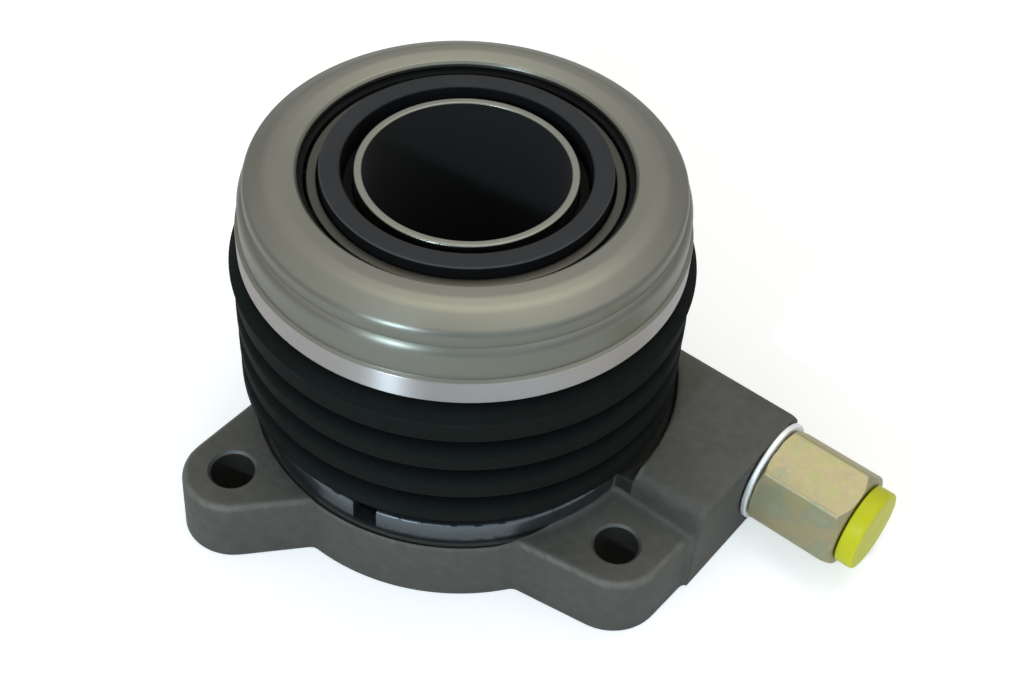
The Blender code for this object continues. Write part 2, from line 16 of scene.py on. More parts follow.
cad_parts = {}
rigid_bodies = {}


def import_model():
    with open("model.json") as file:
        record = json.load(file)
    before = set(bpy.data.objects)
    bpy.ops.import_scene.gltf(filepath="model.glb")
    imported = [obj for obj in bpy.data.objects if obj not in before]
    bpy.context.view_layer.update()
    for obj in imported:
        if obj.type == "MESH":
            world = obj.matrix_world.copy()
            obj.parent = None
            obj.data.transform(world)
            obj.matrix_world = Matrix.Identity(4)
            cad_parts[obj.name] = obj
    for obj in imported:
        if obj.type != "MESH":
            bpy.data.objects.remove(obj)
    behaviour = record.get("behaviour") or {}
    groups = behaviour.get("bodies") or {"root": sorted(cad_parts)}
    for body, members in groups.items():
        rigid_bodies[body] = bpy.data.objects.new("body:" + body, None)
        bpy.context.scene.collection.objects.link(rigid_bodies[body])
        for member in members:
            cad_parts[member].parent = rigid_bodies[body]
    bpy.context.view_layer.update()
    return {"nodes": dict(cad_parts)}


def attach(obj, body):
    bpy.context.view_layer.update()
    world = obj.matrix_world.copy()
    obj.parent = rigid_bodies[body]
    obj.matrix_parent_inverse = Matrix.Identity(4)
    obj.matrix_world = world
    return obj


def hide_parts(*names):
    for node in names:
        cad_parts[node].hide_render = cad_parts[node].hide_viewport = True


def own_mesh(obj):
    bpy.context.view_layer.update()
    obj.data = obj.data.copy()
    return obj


for thing in list(bpy.data.objects):
    bpy.data.objects.remove(thing, do_unlink=True)
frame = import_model()
MM = 0.001

# %% [markdown]
# The camera comes first. Its place was found by matching nine circles of the
# part, such as the rim of the tube and the bolt holes, to their ellipses in the
# photograph. It looks down at about 46 degrees, from in front on the arm's side.

# %% Camera
CAMERA_PLACE = (0.1367, -0.171855, 0.258477)
CAMERA_RIGHT = Vector((0.778434, 0.62585, 0.048508))
CAMERA_DOWN = Vector((0.480941, -0.544963, -0.686812))
CAMERA_FORWARD = Vector((-0.403406, 0.557967, -0.725215))
camera = bpy.data.objects.new("camera", bpy.data.cameras.new("camera"))
bpy.context.scene.collection.objects.link(camera)
bpy.context.scene.camera = camera
camera.data.sensor_width = 36.0
camera.data.lens = 56.305
camera.data.clip_start = 0.01
turn = Matrix((CAMERA_RIGHT, -CAMERA_DOWN, -CAMERA_FORWARD)).transposed()
camera.matrix_world = Matrix.Translation(CAMERA_PLACE) @ turn.to_4x4()
print("camera at", CAMERA_PLACE)

# %% [markdown]
# The stage is one pale floor under a white sky. Light Path tells a camera or
# glossy ray from a lighting ray, so the background can be white without
# flooding the part with light. A small cool lamp from the front gives the short
# bright streaks on the steel cover, and wide lamps above and to the right fill.

# %% Stage
def link(obj):
    bpy.context.scene.collection.objects.link(obj)
    return obj


LAMP_CENTRE, LAMP_AIM = Vector((0, 0, 0.06)), Vector((0, 0, 0.05))


def soft_lamp(name, azimuth, elevation, distance, size, watts, colour):
    data = bpy.data.lights.new(name, "AREA")
    data.shape = "DISK"
    data.size, data.energy, data.color = size, watts, colour
    lamp = link(bpy.data.objects.new(name, data))
    a, e = math.radians(azimuth), math.radians(elevation)
    way = Vector((math.cos(a) * math.cos(e), math.sin(a) * math.cos(e), math.sin(e)))
    lamp.location = LAMP_CENTRE + way * distance
    lamp.rotation_mode = "QUATERNION"
    lamp.rotation_quaternion = (LAMP_AIM - lamp.location).to_track_quat("-Z", "Y")


soft_lamp("front_lamp", -82, 29, 0.75, 0.08, 2.5, (0.68, 0.87, 1.0))
soft_lamp("right_lamp", -32, 34, 1.0, 1.1, 2.6, (0.74, 0.88, 1.0))
soft_lamp("top_lamp", 100, 78, 0.9, 0.8, 2.3, (1.0, 0.97, 0.80))

# %% [markdown]
# Node maths reads best as plain expressions. A Wire wraps one socket, and its
# operators add Math nodes, so 1 - mask and a * b + c work as they do on numbers.
# A Tree makes any other node from its type, its settings and the values or wires
# of its sockets. Materials and Geometry Nodes both build on these two.

# %% Node helpers
def with_other(operation):
    """A method that adds a Math node for this wire and another value."""
    return lambda self, other: self.maths(operation, self, other)


def alone(operation):
    return lambda self: self.maths(operation, self)


class Wire:
    """One output socket of a node tree, with arithmetic."""

    __add__ = __radd__ = with_other("ADD")
    __mul__ = __rmul__ = with_other("MULTIPLY")
    __sub__, __truediv__ = with_other("SUBTRACT"), with_other("DIVIDE")
    least, most = with_other("MINIMUM"), with_other("MAXIMUM")
    root, fraction = alone("SQRT"), alone("FRACT")
    cosine, sine = alone("COSINE"), alone("SINE")

    def __init__(self, tree, socket):
        self.tree, self.socket = tree, socket

    def maths(self, operation, *values, clamp=False):
        return self.tree.add("ShaderNodeMath", dict(enumerate(values)),
                             operation=operation, use_clamp=clamp)

    def __rsub__(self, other):
        return self.maths("SUBTRACT", other, self)

    def clamped(self):
        return self.maths("ADD", self, 0.0, clamp=True)

    def over(self, edge, soft):
        """0 below edge and 1 above edge + soft, with a straight ramp between."""
        return ((self - edge) / soft).clamped()

    def under(self, edge, soft):
        return 1 - self.over(edge - soft, soft)

    def eased(self):
        """A ramp from 0 to 1 with soft ends."""
        ramp = self.clamped()
        return ramp * ramp * (3 - ramp * 2)


class Tree:
    """A node tree to which one call adds any node."""

    def add(self, kind, inputs=None, out=0, stops=None, **settings):
        node = self.nodes.new(kind)
        for key, value in settings.items():
            setattr(node, key, value)
        if stops:
            ramp = node.color_ramp
            while len(ramp.elements) < len(stops):
                ramp.elements.new(0.5)
            for element, (at, colour) in zip(ramp.elements, stops):
                element.position, element.color = at, (*colour, 1)
        for key, value in (inputs or {}).items():
            if isinstance(value, (Wire, list)):
                for wire in value if isinstance(value, list) else [value]:
                    self.links.new(wire.socket, node.inputs[key])
            else:
                node.inputs[key].default_value = value
        return Wire(self, node.outputs[out])

    def vector(self, x, y, z):
        return self.add("ShaderNodeCombineXYZ", {"X": x, "Y": y, "Z": z})

    def parts(self, vector):
        """The x, y and z of a vector."""
        node = self.add("ShaderNodeSeparateXYZ", {"Vector": vector}).socket.node
        return [Wire(self, node.outputs[k]) for k in range(3)]

    def seen_rays(self):
        """Two masks: the camera's rays, and those with reflected and clear ones."""
        path = self.nodes.new("ShaderNodeLightPath")
        camera, glossy, clear = (Wire(self, path.outputs["Is %s Ray" % name])
                                 for name in ("Camera", "Glossy", "Transmission"))
        return camera, camera.most(glossy).most(clear)


class Finish(Tree):
    """One Principled material, read in Object coordinates in metres."""

    def __init__(self, name, **constants):
        self.material = bpy.data.materials.new(name)
        self.material.use_nodes = True
        self.nodes = self.material.node_tree.nodes
        self.links = self.material.node_tree.links
        self.shader = self.nodes["Principled BSDF"]
        for key, value in constants.items():
            self.set(key.replace("_", " ").title(), value)
        self.place = self.add("ShaderNodeTexCoord", out="Object")
        self.x, self.y, self.z = self.parts(self.place)
        self.radius = (self.x * self.x + self.y * self.y).root()
        self.relief = None

    def set(self, key, value):
        """Give a socket of the shader a wire, a number or a colour."""
        socket = self.shader.inputs[key.replace("Ior", "IOR")]
        if isinstance(value, Wire):
            self.links.new(value.socket, socket)
        else:
            socket.default_value = (*value, 1) if isinstance(value, tuple) else value

    def noise(self, scale, detail=3.0, roughness=0.55, at=None):
        return self.add("ShaderNodeTexNoise",
                        {"Vector": at or self.place, "Scale": scale, "Detail": detail,
                         "Roughness": roughness}, out="Fac")

    def mix(self, factor, first, second):
        """Blend two colours, each a wire or three numbers."""
        ends = [c if isinstance(c, Wire) else (*c, 1) for c in (first, second)]
        return self.add("ShaderNodeMix", {0: factor, 6: ends[0], 7: ends[1]},
                        out=2, data_type="RGBA")

    def turning(self, stretch=0.02):
        """Coordinates that run fast across a turned surface and slowly round it."""
        angle = self.add("ShaderNodeMath", {0: self.y, 1: self.x}, operation="ARCTAN2")
        return self.vector(angle * stretch, self.radius, self.z)

    def bump(self, height, strength, distance):
        """Raise the surface by a height map; several calls pile up."""
        inputs = {"Height": height, "Strength": strength, "Distance": distance}
        if self.relief:
            inputs["Normal"] = self.relief
        self.relief = self.add("ShaderNodeBump", inputs)
        self.set("Normal", self.relief)


print("node helpers ready")

# %% [markdown]
# The floor is pale and plain. What the camera sees of it gets some glow on top,
# and more of it far out, so it reads as white and still keeps the soft shadow
# that the part throws on it. The light that falls on the part does not change.
# The sky is plain white too, but metal needs something dark to mirror, or its
# rolled edges vanish. So reflections see it dimmer near the horizon, and see one
# dark flag, as a photographer would put up, in front of the part.

# %% Floor and sky
def make_floor():
    mesh = bpy.data.meshes.new("floor")
    mesh.from_pydata([(-6, -6, 0), (6, -6, 0), (6, 6, 0), (-6, 6, 0)], [], [(0, 1, 2, 3)])
    floor = link(bpy.data.objects.new("floor", mesh))
    floor.location.z = -0.0002
    finish = Finish("pale_floor", base_color=(0.90, 0.90, 0.90), roughness=0.9)
    camera, seen = finish.seen_rays()
    far = finish.radius.over(0.5, 1.5).eased()
    glow = finish.add("ShaderNodeEmission",
                      {"Strength": camera * (0.31 + far * 0.3) + seen * 0.05})
    both = finish.add("ShaderNodeAddShader", {0: Wire(finish, finish.shader.outputs[0]),
                                              1: glow})
    finish.links.new(both.socket, finish.nodes["Material Output"].inputs["Surface"])
    mesh.materials.append(finish.material)


FLAG, FLAG_EDGE, FLAG_SOFT = Vector((0.557, -0.663, 0.500)), 0.58, 0.30


def make_sky(lighting, flag_dark=0.85, low=0.42):
    """Even white light. Reflections see it dimmer near the horizon and round the flag."""
    world = bpy.data.worlds.new("studio")
    bpy.context.scene.world = world
    world.use_nodes = True
    sky = Tree()
    sky.nodes, sky.links = world.node_tree.nodes, world.node_tree.links
    way = sky.add("ShaderNodeTexCoord", out="Generated")
    _, _, height = sky.parts(way)
    near_flag = sky.add("ShaderNodeVectorMath", {0: way, 1: FLAG}, out="Value",
                        operation="DOT_PRODUCT")
    shade = 1 - ((near_flag - FLAG_EDGE) / FLAG_SOFT).eased() * flag_dark
    rise = (height / 0.85).eased() * (1 - low) + low
    camera, seen = sky.seen_rays()
    mirrored = camera + (1 - camera) * (rise * shade)
    backdrop = sky.nodes["Background"]
    sky.links.new((seen * mirrored + (1 - seen) * lighting).socket,
                  backdrop.inputs["Strength"])
    backdrop.inputs["Color"].default_value = (1, 1, 1, 1)


make_floor()
make_sky(lighting=0.45)
bpy.context.scene.view_settings.view_transform = "Standard"
print("stage ready")

# %% [markdown]
# The steel finishes share one recipe: turned or drawn steel carries fine rings
# round its axis, so a noise that runs fast across the surface and slowly round
# it drives both the roughness and a very small bump.

# %% Steel finishes
def ringed_steel(name, colour, rough, brushed=0.0, cloud=0.12):
    steel = Finish(name, metallic=1.0, anisotropic=brushed, anisotropic_rotation=0.25)
    lines = steel.noise(5000, detail=4, roughness=0.7, at=steel.turning(0.003))
    haze = steel.noise(70, detail=4, roughness=0.6)
    grey = steel.mix(lines * 0.25 + haze * 0.5, tuple(c * (1 - cloud) for c in colour),
                     tuple(min(c * (1 + cloud), 1) for c in colour))
    steel.set("Base Color", grey)
    steel.set("Roughness", lines * 0.16 + haze * 0.1 + (rough - 0.12))
    steel.bump(lines, 0.35, 0.000012)
    return steel


shell_steel = ringed_steel("drawn_steel", (0.225, 0.225, 0.192), 0.38, brushed=0.6)
band_steel = ringed_steel("turned_band_steel", (0.50, 0.475, 0.465), 0.43, brushed=0.99)
# The races are painted much darker than the other ground steel: painted shade for the shade the
# inner race sits in under the cover's lip.
race_steel = ringed_steel("ground_steel", (0.085, 0.082, 0.070), 0.36, brushed=0.6)
ball_steel = ringed_steel("polished_ball_steel", (0.75, 0.75, 0.75), 0.12)
dark_steel = ringed_steel("oiled_steel", (0.25, 0.25, 0.25), 0.38)
plain_steel = ringed_steel("zinc_plated_steel", (0.40, 0.40, 0.38), 0.34)
washer_metal = ringed_steel("bright_washer", (0.97, 1.0, 1.0), 0.55)
cage_brass = ringed_steel("pressed_brass", (0.55, 0.40, 0.16), 0.36)
print("steel finishes ready")

# %% [markdown]
# The guide tube is ground steel outside and on its rim. Its bore is painted near
# black: painted shade for the deep shadow inside the tube.

# %% Tube finish
def tube_finish(bore_r=18.95, rim_z=71.25):
    tube = ringed_steel("guide_tube_steel", (0.24, 0.245, 0.21), 0.34)
    lines = tube.noise(3000, detail=3, at=tube.turning(0.003))
    steel = tube.shader.inputs["Base Color"].links[0].from_socket
    # Painted shade: the bore is near black, standing for the shadow deep in the tube.
    bore = tube.radius.under(bore_r * MM, 0.00008) * tube.z.under(rim_z * MM, 0.0001)
    tube.set("Base Color", tube.mix(bore, Wire(tube, steel), (0.005, 0.005, 0.005)))
    tube.set("Metallic", 1 - bore)
    tube.set("Roughness", bore * 0.6 + lines * 0.12 + 0.24)
    return tube


tube_steel = tube_finish()
print("tube finish ready")

# %% [markdown]
# Rubber is nearly black with a faint green cast. Fine noise gives it a moulded
# skin. The ridges are paler than the folds: dust on the ridges, and painted shade
# that keeps the folds black where they are shaded. The radius tells the two apart.

# %% Rubber and plastic
def rubber_finish(name, dust_colour, fold_r=0.0, ridge_r=1.0):
    """Nearly black rubber, dusty and paler from the fold's radius out to the ridge's (mm);
    painted shade in the folds.
    """
    rubber = Finish(name, specular_ior_level=0.05)
    grain = rubber.noise(2600, detail=4, roughness=0.6)
    cloud = rubber.noise(120, detail=5, roughness=0.65)
    streak = rubber.noise(60, detail=4, at=rubber.turning(0.3))
    # Dust and painted shade: paler towards the ridges, near black in the folds where shade falls.
    rubbed = rubber.radius.over(fold_r * MM, (ridge_r - fold_r) * MM).eased()
    dust_and_fold_shade = rubbed * (0.35 + cloud * 0.5 + streak * 0.5)
    rubber.set("Base Color", rubber.mix(dust_and_fold_shade.clamped(), (0.0012, 0.0019, 0.0017),
                                        dust_colour))
    rubber.set("Roughness", 0.5 + cloud * 0.25 + grain * 0.1)
    rubber.bump(grain, 0.4, 0.00008)
    rubber.bump(cloud, 0.35, 0.0004)
    return rubber


def moulded_finish(name, colour, rough, gloss=0.45):
    plastic = Finish(name, specular_ior_level=gloss)
    grain = plastic.noise(1800, detail=3)
    cloud = plastic.noise(90, detail=4)
    plastic.set("Base Color", plastic.mix(cloud, tuple(c * 0.75 for c in colour),
                                          tuple(min(c * 1.25, 1) for c in colour)))
    plastic.set("Roughness", grain * 0.12 + cloud * 0.12 + (rough - 0.12))
    plastic.bump(grain, 0.25, 0.00003)
    return plastic


boot_rubber = rubber_finish("boot_rubber", (0.0075, 0.0098, 0.0088), 40.8, 43.3)
seal_rubber = rubber_finish("seal_rubber", (0.012, 0.012, 0.012))


def sleeve_finish(top_z=72.3, edge_r=26.3):
    """Black plastic: dusty paler top, walls black as painted shade, painted highlight on the
    outer edge.
    """
    sleeve = moulded_finish("black_sleeve_plastic", (0.005, 0.005, 0.0055), 0.6, gloss=0.1)
    black = Wire(sleeve, sleeve.shader.inputs["Base Color"].links[0].from_socket)
    cloud = sleeve.noise(150, detail=4)
    # Painted shade: below the top face the walls stay black; the top is dusty and paler.
    top = sleeve.z.over((top_z - 0.35) * MM, 0.0002)
    # Painted highlight: a paler band round the rounded outer top edge.
    rubbed = top * sleeve.radius.over(edge_r * MM, 0.0001) * 0.7
    dusty_lit_top = sleeve.mix(cloud, (0.024, 0.024, 0.026), (0.038, 0.038, 0.040))
    sleeve.set("Base Color", sleeve.mix(rubbed, sleeve.mix(top, black, dusty_lit_top),
                                        (0.085, 0.085, 0.088)))
    return sleeve


sleeve_plastic = sleeve_finish()
piston_plastic = moulded_finish("dark_piston_plastic", (0.03, 0.03, 0.032), 0.5)
ring_plastic = moulded_finish("pale_ring_plastic", (0.6, 0.58, 0.5), 0.5)
plug_plastic = moulded_finish("yellow_plug_plastic", (0.58, 0.575, 0.010), 0.42, gloss=0.25)
print("rubber and plastic ready")

# %% [markdown]
# The adapter is zinc plated with a yellow chromate. That thin film shifts from
# straw to pink and green in soft patches, which a colour ramp over a broad noise
# gives, and it is worn paler where the noise is high.

# %% Chromate finish
def chromate_finish():
    zinc = Finish("yellow_chromate_zinc", metallic=0.85)
    patch = zinc.noise(160, detail=4, roughness=0.6)
    fine = zinc.noise(900, detail=4, roughness=0.6)
    film = zinc.add("ShaderNodeValToRGB", {"Fac": patch * 0.8 + fine * 0.2}, stops=[
        (0.30, (0.36, 0.35, 0.26)), (0.42, (0.41, 0.39, 0.20)), (0.52, (0.44, 0.37, 0.23)),
        (0.60, (0.36, 0.37, 0.24)), (0.72, (0.43, 0.40, 0.28))])
    zinc.set("Base Color", film)
    zinc.set("Roughness", 0.44 + fine * 0.2)
    zinc.bump(fine, 0.2, 0.00003)
    return zinc


adapter_zinc = chromate_finish()
print("chromate ready")

# %% [markdown]
# The housing is one casting, so one material covers it and masks tell the
# regions apart: raw skin, worn edges (an attribute that is measured on the
# mesh), the places that were machined bright, which are found by their
# distance from an axis or by their height, and painted shade, near black in the
# bolt holes, in the groove round the collar and on the arm's wall by the boot.

# %% Casting finish
PORT_Y, PORT_Z, ARM_END = 24.7, 11.85, 60.0
PLATE_T, COLLAR_H, COLLAR_R, COLLAR_IN = 14.0, 4.4, 40.07, 37.67
LUGS = {"left": (-111.8, 49.8), "right": (-13.5, 50.0), "rear": (117.4, 49.8)}
BOLT_R, GROOVE_R, GROOVE_Z, ARM_STEP_R = 4.25, 41.2, 12.8, 44.0
GROOVE_FROM, GROOVE_TO, GROOVE_RUN_OUT = 70, 336, 16


def polar(azimuth, radius, z=0.0):
    t = math.radians(azimuth)
    return (radius * math.cos(t), radius * math.sin(t), z)


def casting_finish():
    cast = Finish("cast_aluminium")
    grain = cast.noise(1500, detail=5, roughness=0.65)
    sand = cast.noise(420, detail=4, roughness=0.6)
    cloud = cast.noise(55, detail=5, roughness=0.6)
    worn = cast.add("ShaderNodeAttribute", out="Fac", attribute_name="worn_edge")
    skin = cast.mix(cloud.over(0.3, 0.4), (0.072, 0.071, 0.058), (0.098, 0.096, 0.086))
    skin = cast.mix(sand.over(0.35, 0.4) * 0.5, skin, (0.125, 0.123, 0.113))
    rubbed = (worn * (0.25 + sand * 0.8)).clamped()
    skin = cast.mix(rubbed, skin, (0.26, 0.255, 0.225))
    ring = (cast.z.over((PLATE_T - 0.9) * MM, 0.0004)
            * cast.radius.under((COLLAR_R + 0.25) * MM, 0.0001))
    # Painted shade: the groove round the collar, the arm's wall by the boot and the bolt holes
    # are painted near black, where shade falls.
    groove = (cast.radius.over((COLLAR_R + 0.3) * MM, 0.0001)
              * cast.radius.under((GROOVE_R + 0.1) * MM, 0.0002)
              * cast.z.under((PLATE_T - 0.15) * MM, 0.0003)
              * cast.z.over((GROOVE_Z - 0.2) * MM, 0.0001))
    step = (cast.radius.over((COLLAR_R + 0.3) * MM, 0.0003)
            * cast.radius.under((ARM_STEP_R + 0.25) * MM, 0.0003)
            * cast.z.over((PLATE_T + 0.8) * MM, 0.0004))
    shadow, rims = groove + step, 0
    for azimuth, reach in LUGS.values():
        x, y, _ = polar(azimuth, reach * MM)
        across, along = cast.x - x, cast.y - y
        distance = (across * across + along * along).root()
        shadow = shadow + distance.under((BOLT_R + 0.1) * MM, 0.0001)
        rims = distance.under((BOLT_R + 0.75) * MM, 0.0001) * 0.4 + rims
    shadow = shadow.clamped() * cast.z.over(0.0006, 0.001)
    rims = rims * (1 - shadow) * cast.z.under((PLATE_T - 0.08) * MM, 0.0001) \
        * cast.z.over((PLATE_T - 1.0) * MM, 0.0001)
    lines = cast.noise(3500, detail=3, at=cast.turning(0.004))
    bright = cast.mix(lines, (0.10, 0.115, 0.125), (0.17, 0.19, 0.20))
    under = cast.z.under(0.00012, 0.00005)
    machined = (ring + under + rims).clamped() * (1 - shadow)
    # The painted shade goes on last, near black.
    colour_with_painted_shade = cast.mix(shadow, cast.mix(machined, skin, bright), (0.014, 0.0135, 0.009))
    cast.set("Base Color", colour_with_painted_shade)
    cast.set("Metallic", (0.45 + machined * 0.5) * (1 - shadow))
    cast.set("Roughness", (0.62 + grain * 0.12 - rubbed * 0.2) * (1 - machined)
             + machined * (0.32 + lines * 0.15))
    cast.bump(grain, (1 - machined) * 0.5 + 0.05, 0.00012)
    cast.bump(sand, (1 - machined) * 0.7, 0.00022)
    return cast


cast_aluminium = casting_finish()
print("castings ready")

# %% [markdown]
# Most of this part was turned on a lathe or moulded round an axis, so one
# helper serves: it takes a closed outline of (radius, height) points, rounds
# the corners that carry a third number, and sweeps it round the axis. The
# outline runs down the outside, which makes the faces point outwards.

# %% Turning helpers
def rounded(outline):
    """Replace each corner that has a radius by an arc."""
    points, pieces = [], 6
    for i, (r, z, *radius) in enumerate(outline):
        if not radius:
            points.append((r, z))
            continue
        corner = Vector((r, z))
        legs = [Vector(outline[k][:2]) - corner
                for k in (i - 1, (i + 1) % len(outline))]
        half = legs[0].angle(legs[1]) / 2
        reach = min(radius[0] / math.tan(half), 0.48 * legs[0].length,
                    0.48 * legs[1].length)
        ways = [leg.normalized() for leg in legs]
        bend = reach * math.tan(half)
        centre = corner + (ways[0] + ways[1]).normalized() * bend / math.sin(half)
        first, last = (corner + way * reach - centre for way in ways)
        for k in range(pieces + 1):
            t = k / pieces
            spoke = (first * (1 - t) + last * t).normalized() * bend
            points.append(tuple(centre + spoke))
    return points


def arc(centre, radius, first, last, count):
    angles = np.radians(np.linspace(first, last, count))
    return [(centre[0] + radius * math.cos(t), centre[1] + radius * math.sin(t))
            for t in angles]


def mesh_object(name, points, faces, finish):
    mesh = bpy.data.meshes.new(name)
    mesh.from_pydata(points, [], faces)
    obj = link(bpy.data.objects.new(name, mesh))
    mesh.materials.append(finish.material)
    return obj


def tidy(obj, sharp=32):
    """Merge doubles and set smooth shading with sharp edges above an angle."""
    work = bmesh.new()
    work.from_mesh(obj.data)
    bmesh.ops.remove_doubles(work, verts=work.verts, dist=1e-7)
    work.to_mesh(obj.data)
    work.free()
    obj.data.shade_smooth()
    obj.data.set_sharp_from_angle(angle=math.radians(sharp))
    return obj


def turned(name, outline, finish, steps=192, along_x=False):
    profile = rounded(outline)
    count = len(profile)
    points, faces = [], []
    for k in range(steps):
        t = 2 * math.pi * k / steps
        for r, z in profile:
            point = (r * math.cos(t), r * math.sin(t), z)
            if along_x:
                point = (z, point[0] + PORT_Y, point[1] + PORT_Z)
            points.append(tuple(c * MM for c in point))
        near, far = k * count, ((k + 1) % steps) * count
        for i in range(count):
            j = (i + 1) % count
            faces.append((near + i, near + j, far + j, far + i))
    return tidy(mesh_object(name, points, faces, finish))


def dress(piece, node, body, *more_nodes):
    """The piece stands for one or more CAD nodes and rides on their body."""
    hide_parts(node, *more_nodes)
    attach(piece, body)
    print("made", piece.name, len(piece.data.polygons), "faces")


print("turning helpers ready")

# %% [markdown]
# The bearing's steel cover is drawn from sheet: a crowned face that the clutch
# fingers press on, two rolled shoulders, a skirt, and a band of doubled metal at
# the bottom. The rolls catch the light, so their radii matter more than anything.
# The band was turned after drawing: its fine rings spread light up and down, so
# it has a finish of its own, more strongly brushed.

# %% Bearing cover
SHELL_TOP, SHELL_Z, SHELL_R, RIM_R, OPEN_R = 72.2, 55.6, 41.4, 42.12, 30.4
NECK_IN, ROLL_R, BAND_TOP = 1.1, 2.5, 4.9
cover = turned("bearing_cover", [
    (OPEN_R, SHELL_TOP - 0.5, 0.3), (OPEN_R + 0.5, SHELL_TOP, 0.5),
    (OPEN_R + 3.4, SHELL_TOP + 0.33, 4), (OPEN_R + 5.8, SHELL_TOP + 0.1, 5),
    (SHELL_R - NECK_IN, SHELL_TOP - 2.1, 1.6), (SHELL_R - NECK_IN, SHELL_TOP - 4.8, 0.25)]
    + arc((SHELL_R - ROLL_R, SHELL_TOP - 7.0), ROLL_R, 56, 0, 9) + [
    (SHELL_R, SHELL_Z + BAND_TOP + 0.25, 0.15),
    (RIM_R, SHELL_Z + BAND_TOP - 0.15, 0.25), (RIM_R, SHELL_Z, 0.3),
    (RIM_R - 1.0, SHELL_Z, 0.2), (RIM_R - 1.5, SHELL_Z + 0.9),
    (SHELL_R - 1.1, SHELL_TOP - 7.2), (SHELL_R - 2.0, SHELL_TOP - 4.2),
    (SHELL_R - 3.4, SHELL_TOP - 2.1), (OPEN_R + 5.5, SHELL_TOP - 0.95),
    (OPEN_R + 0.5, SHELL_TOP - 1.1), (OPEN_R, SHELL_TOP - 1.3, 0.2)],
    shell_steel, steps=256)
cover.data.materials.append(band_steel.material)
for face in cover.data.polygons:
    x, y, z = face.center
    on_band = z / MM < SHELL_Z + BAND_TOP - 0.1 and math.hypot(x, y) / MM > RIM_R - 0.5
    face.material_index = int(on_band)
dress(cover, "bearing_shell", "rotor")

# %% [markdown]
# Geometry Nodes make the pieces that follow a rule: the folded boot, the coiled
# spring, the ring of balls and their cage. A Recipe is one such tree. Each size is
# a named input of the modifier, in millimetres, and grow turns the result into a
# plain mesh, because the export keeps no modifiers and no instances.

# %% Geometry Nodes helper
def baked(obj):
    """Apply all modifiers by taking the evaluated mesh."""
    graph = bpy.context.evaluated_depsgraph_get()
    graph.update()
    mesh = bpy.data.meshes.new_from_object(obj.evaluated_get(graph))
    obj.modifiers.clear()
    old = obj.data
    obj.data = mesh
    bpy.data.meshes.remove(old)
    return obj


class Recipe(Tree):
    """One Geometry Nodes tree with named sizes."""

    def __init__(self, name):
        self.group = bpy.data.node_groups.new(name, "GeometryNodeTree")
        self.nodes, self.links = self.group.nodes, self.group.links
        self.group.interface.new_socket("Geometry", in_out="OUTPUT",
                                        socket_type="NodeSocketGeometry")
        self.inlet = self.nodes.new("NodeGroupInput")
        self.chosen = {}

    def size(self, name, value):
        kind = "NodeSocketInt" if isinstance(value, int) else "NodeSocketFloat"
        item = self.group.interface.new_socket(name, in_out="INPUT", socket_type=kind)
        self.chosen[item.identifier] = value
        return Wire(self, self.inlet.outputs[name])

    def place(self, geometry, position=None, offset=None):
        inputs = {"Geometry": geometry}
        if position:
            inputs["Position"] = position
        if offset:
            inputs["Offset"] = offset
        return self.add("GeometryNodeSetPosition", inputs)

    def grow(self, name, shape, finish, sharp=40):
        real = self.add("GeometryNodeRealizeInstances", {"Geometry": shape})
        done = self.add("GeometryNodeSetMaterial", {"Geometry": real,
                                                    "Material": finish.material})
        outlet = self.nodes.new("NodeGroupOutput")
        self.links.new(done.socket, outlet.inputs[0])
        obj = mesh_object(name, [], [], finish)
        step = obj.modifiers.new("grow", "NODES")
        step.node_group = self.group
        for key, value in self.chosen.items():
            step[key] = value
        return tidy(baked(obj), sharp)


print("recipes ready")

# %% [markdown]
# The boot is one rubber wall folded into ridges. A flat grid is rolled round the
# axis: one side of it runs round, the other from the foot up to the cuff. Its
# radius is a rule of the height. Each ridge hangs over the valley below it: the
# rubber turns in sharply under the ridge's lower edge and comes out again slowly.
# There is also a step in at the foot and a small bead under the cuff. The wall is
# then given its thickness inwards.

# %% Boot
BOOT_WALL, STROKE, FOOT_Z, BOOT_TOP = 1.5, 13.0, 14.3, 55.5
BOOT_SIZES = {"Ridge radius": 43.3, "Valley depth": 3.3, "Highest ridge edge": 46.9,
              "Pitch": 7.7, "Foot radius": 37.37, "Foot step height": 22.4,
              "Foot step": 2.0, "Bead height": 52.2, "Bead": 0.6, "Cuff slope": 1.1,
              "Top": BOOT_TOP, "Foot": FOOT_Z, "Flat inner radius": 35.6, "Flat": 4.7,
              "Wall": BOOT_WALL, "Around": 192, "Along": 210}


